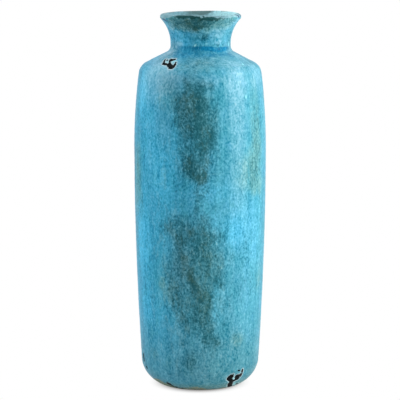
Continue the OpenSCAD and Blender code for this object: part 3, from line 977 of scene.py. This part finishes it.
# %% Clay, joint slip and dark slip finishes
def clay_finish(name, body, shade, speck, sand_mm):
    """Fired clay: a body colour clouded with a shade, with specks, and a sandy bump of that height."""
    material, spot = new_finish(name)
    clouding = noise(spot, 12.0, detail=3.0)
    sand = noise(spot, 0.9, detail=2.0, rough=0.6)
    iron = noise(spot, 1.6, detail=1.0).eased(0.66, 0.74)
    turning = noise(stretched(spot, 0.25, 0.25, 1.0), 1.4, detail=1.0)
    mixed = flat(spot, body).tinted(shade, clouding.eased(0.38, 0.66))
    mixed = mixed.tinted(speck, iron * 0.8)
    mixed = mixed.tinted(shade, sand.eased(0.55, 0.35) * 0.5)
    fired(spot, mixed, 0.78 + sand * 0.2, sand + turning * 0.5, sand_mm, Specular_IOR_Level=0.3)
    count_nodes(name, material)
    return material


bare_clay = clay_finish("bare_clay", (0.3, 0.215, 0.15), (0.19, 0.125, 0.08), (0.05, 0.035, 0.028), 0.18)
joint_slip = clay_finish("joint_slip", (0.38, 0.29, 0.21), (0.29, 0.21, 0.15), (0.12, 0.085, 0.06), 0.08)
slip_tones = [(0.012, 0.012, 0.014), (0.026, 0.022, 0.020), (0.060, 0.045, 0.035)]
dark_slip = clay_finish("dark_slip", *slip_tones, 0.05)

# %% Finishes of the carried-over solids
finish_of_slot = {"clay": bare_clay, "joint_slip": joint_slip, "dark_slip": dark_slip}
finish_of_slot.update({"turquoise_glaze": glaze_finish, "liner_glaze": liner_finish})
for subpart in frame["record"]["subparts"]:
    solid = nodes[subpart["node"]]
    solid.data.materials.clear()
    solid.data.materials.append(finish_of_slot[subpart["material_slot"]])

# %% [markdown]
# The vase stands on a plain white floor. Near the vase the floor is an ordinary pale surface that
# takes the shadow. Further out it fades into the same white as the world, for the camera and for
# reflections, so that no edge of the floor shows and the glaze mirrors the white room. Other rays see
# a plain floor, so that white doesn't light the vase.

# %% White floor
floor_columns = np.linspace(-180.0, 180.0, 97)[:-1]
floor_rows = np.concatenate([[0.0], np.geomspace(40.0, 6000.0, 40)])
floor_top = floor_rows[:, None] + 0.0j * floor_columns[None, :]
floor_depth = 20.0
floor_shell = np.vstack([floor_top - 1j * floor_depth, floor_top[::-1]])
floor = turned_piece("floor", floor_shell, floor_columns, pole=True)


# %% White floor finish
def shown(tree):
    """1 for the rays that the camera, a reflection or clear glass sends out, and 0 for others."""
    kinds = ("Is Camera Ray", "Is Glossy Ray", "Is Transmission Ray")
    camera_ray, glossy_ray, clear_ray = [tree.node("LightPath", out=kind) for kind in kinds]
    return (camera_ray + glossy_ray + clear_ray).eased(0.2, 0.8)


white = (1.0, 1.0, 1.0, 1.0)
shadow_reach = (34.0, 68.0)
floor_finish, place = new_finish("white_floor")
away = place.vector("LENGTH", {}, out="Value").eased(*shadow_reach) * shown(place)
paper = flat(place, (0.86, 0.86, 0.86)).tinted((0.89, 0.89, 0.89), noise(place, 25.0))
plain = place.node("BsdfDiffuse", {"Color": paper})
glow = place.node("Emission", {"Color": white, "Strength": 1.0})
blend = place.node("MixShader", {0: away, 1: plain, 2: glow})
place.node("OutputMaterial", {"Surface": blend})
floor.data.materials.append(floor_finish)
count_nodes("floor finish", floor_finish)

# %% [markdown]
# The light is a plain studio: one tall soft box to the right, a weaker one on the left and a little
# behind that draws the left edge, a broad one above, and an even white room. A lamp of W watts
# at d metres lights a facing surface at level 1 when W is about (pi * d)^2, so each lamp is set by its
# level.


# %% Soft boxes
def soft_box(name, azimuth, elevation, distance, size, level, aim=(0.0, 0.0, 0.26)):
    """A rectangular lamp of that size in metres at an azimuth from the front and an elevation, turned to
    its aim, with W = level * (pi * distance)^2 watts."""
    turn = math.radians(azimuth)
    lift = math.radians(elevation)
    way = Vector((math.sin(turn) * math.cos(lift), -math.cos(turn) * math.cos(lift), math.sin(lift)))
    lamp = bpy.data.lights.new(name, "AREA")
    lamp.shape = "RECTANGLE"
    lamp.size, lamp.size_y = size
    lamp.energy = level * (math.pi * distance) ** 2
    box = bpy.data.objects.new(name, lamp)
    box.location = Vector(aim) + way * distance
    box.rotation_euler = (-way).to_track_quat("-Z", "Y").to_euler()
    bpy.context.scene.collection.objects.link(box)
    print(name, round(lamp.energy, 1), "W")
    return box


soft_box("right_box", 74.0, 16.0, 1.3, (0.36, 1.1), 0.95)
left_strip = soft_box("left_strip", -100.0, 20.0, 1.3, (0.3, 1.2), 0.42)
left_strip.visible_glossy = False
soft_box("top_box", -10.0, 68.0, 1.5, (1.2, 1.2), 0.35)

# %% White room
room_level = 0.42
world = bpy.data.worlds.new("white_room")
bpy.context.scene.world = world
world.use_nodes = True
world.node_tree.nodes.clear()
room = Wire(world.node_tree)
soft_light = room.node("Background", {"Color": white, "Strength": room_level})
white_wall = room.node("Background", {"Color": white, "Strength": 1.0})
both = room.node("MixShader", {0: shown(room), 1: soft_light, 2: white_wall})
room.node("OutputWorld", {"Surface": both})
print("white room lights at level", room_level)

# %% [markdown]
# The camera stands a little higher than the lip, well back, with a long lens, so the vase shows hardly
# any perspective: the lip is a thin ellipse and the foot a shallow curve.

# %% Camera
camera_data = bpy.data.cameras.new("camera")
camera_data.sensor_width = 36.0
camera_data.lens = 189.5
camera_data.shift_x = -0.0004
camera_data.clip_end = 100.0
camera = bpy.data.objects.new("camera", camera_data)
eye = Vector((0.0, -2.678, 0.6634))
aim = Vector((0.0, 0.0, 0.2399))
facing = (aim - eye).to_track_quat("-Z", "Y").to_matrix().to_4x4()
camera.matrix_world = Matrix.Translation(eye) @ facing
bpy.context.scene.collection.objects.link(camera)
bpy.context.scene.camera = camera
bpy.context.scene.view_settings.view_transform = "Standard"
print("camera", [round(v, 3) for v in eye], "lens", camera_data.lens, "mm")
